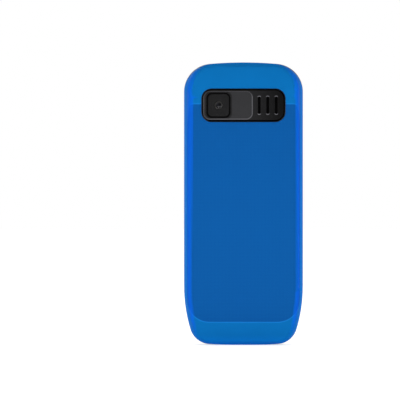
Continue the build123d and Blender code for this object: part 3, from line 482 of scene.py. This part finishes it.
def modify(piece, name, kind, **settings):
    """Adds a modifier and applies it."""
    only(piece)
    modifier = piece.modifiers.new(name, kind)
    for key, value in settings.items():
        setattr(modifier, key, value)
    bpy.ops.object.modifier_apply(modifier=name)


def open_mesh(piece):
    """Goes to edit mode with all of a piece selected."""
    only(piece)
    bpy.ops.object.mode_set(mode="EDIT")
    bpy.ops.mesh.select_all(action="SELECT")


def close_mesh():
    bpy.ops.object.mode_set(mode="OBJECT")


def made(name):
    """Names the active piece and puts its place and size into its mesh."""
    piece = bpy.context.active_object
    piece.name = name
    piece.data.name = name
    bpy.ops.object.transform_apply(location=True, rotation=True, scale=True)
    return piece


def new(name, primitive, scale=(1, 1, 1), **settings):
    """A piece that starts as a primitive."""
    bpy.ops.object.select_all(action="DESELECT")
    primitive(**settings)
    bpy.context.active_object.scale = scale
    return made(name)


def turned(degrees):
    """A turn about the X axis."""
    return math.radians(degrees), 0, 0


WELD = 3 * MICRON
FLAT_ANGLE, SHARP_ANGLE = math.radians(0.6), math.radians(28)


def softened(name, edge, steps=3, smooth=35):
    """The moulding of a CAD node, with its edges rounded by edge mm and its shading evened."""
    piece = bpy.data.objects.new(f"{name}_moulding", frame["nodes"][name].data.copy())
    bpy.context.scene.collection.objects.link(piece)
    open_mesh(piece)
    bpy.ops.mesh.remove_doubles(threshold=WELD)
    bpy.ops.mesh.customdata_custom_splitnormals_clear()
    bpy.ops.mesh.dissolve_limited(angle_limit=FLAT_ANGLE)
    close_mesh()
    if edge:
        modify(piece, "rounded_edges", "BEVEL", width=edge * MM, segments=steps,
               limit_method="ANGLE", angle_limit=SHARP_ANGLE)
    bpy.ops.object.shade_smooth_by_angle(angle=math.radians(smooth))
    modify(piece, "even_shading", "WEIGHTED_NORMAL", keep_sharp=True, weight=80)
    settle(piece, finish_of[name], body_of[name])
    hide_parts(name)


softened("rear_cover", 0, smooth=50)
softened("camera_panel", 0.2, steps=1, smooth=20)
softened("front_housing", 0.2, steps=2)
for name in keys + side_keys + ["nav_ring"]:
    softened(name, 0.15)
softened("ok_key", 0.3)

# Camera: ring, dome and seat behind the smoked window, and prints inside it
TURNED_SIDES = 72
RING_RADIUS, RING_WIRE, RING_DEPTH = 1.0 * MM, 0.12 * MM, 0.2 * MM
DOME_RADIUS, DOME_FLATTENED, DOME_DEPTH = 0.92 * MM, 0.2, 0.36 * MM
SEAT_RADIUS, SEAT_DEPTH, SEAT_SHEET = 3.0 * MM, 0.34 * MM, 0.1 * MM
SEAT_SLOPE, SEAT_DROP, SEAT_FLAT = 0.55 * MM, 0.12 * MM, 1.3 * MM
CLEAR_RADIUS = 1.8 * MM
lens_low, lens_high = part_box("camera_lens")
window_low, window_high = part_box("camera_window")
lens_x, lens_z = (lens_low.x + lens_high.x) / 2, (lens_low.z + lens_high.z) / 2
under_glass = window_low.y

lens_ring = new("lens_ring", bpy.ops.mesh.primitive_torus_add, major_radius=RING_RADIUS,
                minor_radius=RING_WIRE, major_segments=TURNED_SIDES, minor_segments=12,
                location=(lens_x, under_glass - RING_DEPTH, lens_z), rotation=turned(90))
bpy.ops.object.shade_smooth()
settle(lens_ring, lens_ring_metal, "phone")

# Front element: a shallow dome of glass inside the ring
lens_dome = new("lens_dome", bpy.ops.mesh.primitive_uv_sphere_add, scale=(1, DOME_FLATTENED, 1),
                segments=64, ring_count=32, radius=DOME_RADIUS)
open_mesh(lens_dome)
bpy.ops.mesh.bisect(plane_co=(0, 0, 0), plane_no=(0, 1, 0), clear_inner=True, use_fill=True)
close_mesh()
lens_dome.location = (lens_x, under_glass - DOME_DEPTH, lens_z)
bpy.ops.object.transform_apply(location=True)
bpy.ops.object.shade_smooth_by_angle(angle=math.radians(40))
settle(lens_dome, lens_glass, "phone")

# Seat round the lens, stepped down towards it
lens_seat = new("lens_seat", bpy.ops.mesh.primitive_circle_add, vertices=TURNED_SIDES,
                radius=SEAT_RADIUS, fill_type="NGON", rotation=turned(-90),
                location=(lens_x, under_glass - SEAT_DEPTH, lens_z))
open_mesh(lens_seat)
bpy.ops.mesh.inset(thickness=SEAT_SLOPE, depth=-SEAT_DROP)
bpy.ops.mesh.inset(thickness=SEAT_FLAT)
bpy.ops.mesh.delete(type="FACE")
close_mesh()
modify(lens_seat, "sheet", "SOLIDIFY", thickness=SEAT_SHEET, offset=-1)
settle(lens_seat, lens_seat_paint, "phone")

PRINT_GAP = 0.1 * MM        # both sides together
PRINT_CORNER = 2.2 * MM
GREY_UP, GREY_THICKNESS = 0.02 * MM, 10 * MICRON
BLACK_UP, BLACK_THICKNESS, BLACK_WIDTH = 0.04 * MM, 15 * MICRON, 0.6 * MM


def window_sheet(name, up):
    """A flat sheet in the outline of the camera window, up metres inside its underside."""
    middle = (window_low + window_high) / 2
    size = window_high - window_low
    sheet = new(name, bpy.ops.mesh.primitive_plane_add, size=1, rotation=turned(-90),
                location=(middle.x, under_glass + up, middle.z),
                scale=(size.x - PRINT_GAP, size.z - PRINT_GAP, 1))
    open_mesh(sheet)
    bpy.ops.mesh.bevel(offset=PRINT_CORNER, segments=8, affect="VERTICES")
    close_mesh()
    return sheet


# Grey, with a clear circle for the lens
grey_print = window_sheet("camera_window_grey_print", GREY_UP)
modify(grey_print, "ink", "SOLIDIFY", thickness=GREY_THICKNESS, offset=0)
circle_cutter = new("circle_cutter", bpy.ops.mesh.primitive_cylinder_add, vertices=TURNED_SIDES,
                    radius=CLEAR_RADIUS, depth=1 * MM, rotation=turned(90),
                    location=(lens_x, under_glass, lens_z))
modify(grey_print, "clear_circle", "BOOLEAN", operation="DIFFERENCE", solver="EXACT",
       object=circle_cutter)
bpy.data.objects.remove(circle_cutter, do_unlink=True)
settle(grey_print, camera_ink, "phone")

# Black, round the edge
camera_print = window_sheet("camera_window_print", BLACK_UP)
open_mesh(camera_print)
bpy.ops.mesh.inset(thickness=BLACK_WIDTH)
bpy.ops.mesh.delete(type="FACE")
close_mesh()
modify(camera_print, "ink", "SOLIDIFY", thickness=BLACK_THICKNESS, offset=1)
settle(camera_print, mask_print, "phone")

# Characters on the keys: the star sign stands high on its line, so it is larger and set lower
DIGIT_SIZE, STAR_SIZE, STAR_LIFT = 5.4 * MM, 8.5 * MM, -1.9 * MM
INK_PROUD, INK_HALF = 6 * MICRON, 8 * MICRON    # middle and half thickness of the ink
front = {name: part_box(name) for name in keys + side_keys}
signs = {"star": "*", "hash": "#"}
for name in keys:
    digit = name.split("_")[1]
    star = digit == "star"
    low, high = front[name]
    bpy.ops.object.select_all(action="DESELECT")
    bpy.ops.object.text_add(
        location=((low.x + high.x) / 2, low.y - INK_PROUD,
                  (low.z + high.z) / 2 + (STAR_LIFT if star else 0.0)),
        rotation=turned(90))
    mark = bpy.context.active_object
    mark.data.body = signs.get(digit, digit)
    mark.data.size = STAR_SIZE if star else DIGIT_SIZE
    mark.data.extrude = INK_HALF
    mark.data.align_x = "CENTER"
    mark.data.align_y = "CENTER"
    bpy.ops.object.convert(target="MESH")
    settle(made(f"{name}_print"), digit_ink, name)

# Marks on the side keys: a short bar on the soft keys, a coloured bar on the call and end keys
BAR_THICKNESS, BAR_HEIGHT, BAR_EDGE = 0.03 * MM, 0.75 * MM, 14 * MICRON
bars = {"soft_key_left": (digit_ink, 3.4), "soft_key_right": (digit_ink, 3.4),
        "call_key": (call_ink, 5.0), "end_key": (end_ink, 5.0)}
for name, (material, length) in bars.items():
    low, high = front[name]
    bar = new(f"{name}_bar", bpy.ops.mesh.primitive_cube_add, size=1,
              location=((low.x + high.x) / 2, low.y, (low.z + high.z) / 2),
              scale=(length * MM, BAR_THICKNESS, BAR_HEIGHT))
    modify(bar, "round_ends", "BEVEL", width=BAR_EDGE, segments=2)
    settle(bar, material, name)

# Display: black print round the clear part of the window
VIEW_GAP = 1.0 * MM         # both sides together
VIEW_BORDER, VIEW_LIFT = 5.45 * MM, 1.2 * MM
VIEW_DEPTH, VIEW_THICKNESS = 0.04 * MM, 20 * MICRON
view_low, view_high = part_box("display_window")
window_print = new("window_print", bpy.ops.mesh.primitive_plane_add, size=1,
                   location=((view_low.x + view_high.x) / 2, view_high.y - VIEW_DEPTH,
                             (view_low.z + view_high.z) / 2),
                   rotation=turned(90),
                   scale=(view_high.x - view_low.x - VIEW_GAP,
                          view_high.z - view_low.z - VIEW_GAP, 1))
open_mesh(window_print)
bpy.ops.mesh.inset(thickness=VIEW_BORDER)
bpy.ops.transform.translate(value=(0, 0, VIEW_LIFT))
bpy.ops.mesh.delete(type="FACE")
close_mesh()
modify(window_print, "ink", "SOLIDIFY", thickness=VIEW_THICKNESS, offset=0)
settle(window_print, mask_print, "phone")

# Locating lips in the seam at the two ends, under the outer surface: place in mm and lean
LIP_SIZE = (12 * MM, 0.2 * MM, 1.5 * MM)
for end, y, z, lean in (("top", 2.08, 115.1, -21), ("bottom", -0.25, 0.95, 0)):
    seam_lip = new(f"seam_lip_{end}", bpy.ops.mesh.primitive_cube_add, size=1, scale=LIP_SIZE,
                   location=(0, y * MM, z * MM), rotation=turned(lean))
    settle(seam_lip, black_abs, "phone")

# Stage: pale floor, even sky, soft lamps and the camera
# Floor and sky are whiter where they are seen directly than as light on the phone
FLOOR_SIZE, FLOOR_GLOW = 12, 0.45
SKY_LIGHT, SKY_SEEN = 0.72, 1.0
floor = new("floor", bpy.ops.mesh.primitive_plane_add, size=FLOOR_SIZE, location=(0, 0, 0))
floor_paint, tree = blank("pale_floor")
ray = add(tree, "ShaderNodeLightPath").outputs
direct = calc(tree, "MAXIMUM", calc(tree, "MAXIMUM", ray["Is Camera Ray"], ray["Is Glossy Ray"]),
              ray["Is Transmission Ray"])
matt = add(tree, "ShaderNodeBsdfDiffuse", {"Color": linear("#f2f2f2")})
glow = add(tree, "ShaderNodeEmission", {"Color": (1, 1, 1, 1), "Strength": FLOOR_GLOW})
both = add(tree, "ShaderNodeAddShader", {0: matt.outputs[0], 1: glow.outputs[0]})
output(tree, add(tree, "ShaderNodeMixShader", {0: direct, 1: matt.outputs[0],
                                               2: both.outputs[0]}))
floor.data.materials.append(floor_paint)

scene = bpy.context.scene
world = bpy.data.worlds.new("studio")
scene.world = world
world.use_nodes = True
tree = world.node_tree
tree.nodes.clear()
ray = add(tree, "ShaderNodeLightPath").outputs
direct = calc(tree, "MAXIMUM", ray["Is Camera Ray"], ray["Is Transmission Ray"])
sky = add(tree, "ShaderNodeBackground", {
    "Color": (1, 1, 1, 1), "Strength": ramp(tree, direct, 0, 1, SKY_LIGHT, SKY_SEEN)})
add(tree, "ShaderNodeOutputWorld", {"Surface": sky.outputs[0]})


def facing(place, target):
    """The turn that makes a lamp or camera at a place look at a target."""
    return (Vector(target) - Vector(place)).to_track_quat("-Z", "Y").to_euler()


def lamp(name, place, target, width, height, power):
    """A rectangular lamp: metres and watts."""
    data = bpy.data.lights.new(name, "AREA")
    data.shape = "RECTANGLE"
    data.size, data.size_y, data.energy = width, height, power
    light = bpy.data.objects.new(name, data)
    scene.collection.objects.link(light)
    light.location = place
    light.rotation_euler = facing(place, target)


centre = (0, 0, 58 * MM)
lamp("low_softbox", (0, 0.22, 0.03), (0, 0, 0.005), 0.5, 0.05, 0.5)
lamp("left_softbox", (0.75, 0.3, 0.2), centre, 0.4, 0.9, 0.85)
lamp("right_softbox", (-0.75, 0.3, 0.2), centre, 0.4, 0.9, 0.85)
lamp("top_softbox", (0, 0.35, 0.85), centre, 0.7, 0.4, 0.4)
lamp("front_softbox", (0.2, -0.9, 0.7), centre, 0.7, 0.7, 1.6)

# The phone stands right of the picture's middle, as in the photograph
CAMERA_PLACE = (0, 1.3695, 58 * MM)
CAMERA_AIM = (17.85 * MM, 0, 59.5 * MM)
camera = bpy.data.objects.new("camera", bpy.data.cameras.new("camera"))
scene.collection.objects.link(camera)
scene.camera = camera
camera.data.lens = 300
camera.data.sensor_width = 36
camera.location = CAMERA_PLACE
camera.rotation_euler = facing(camera.location, CAMERA_AIM)

scene.view_settings.view_transform = "Standard"
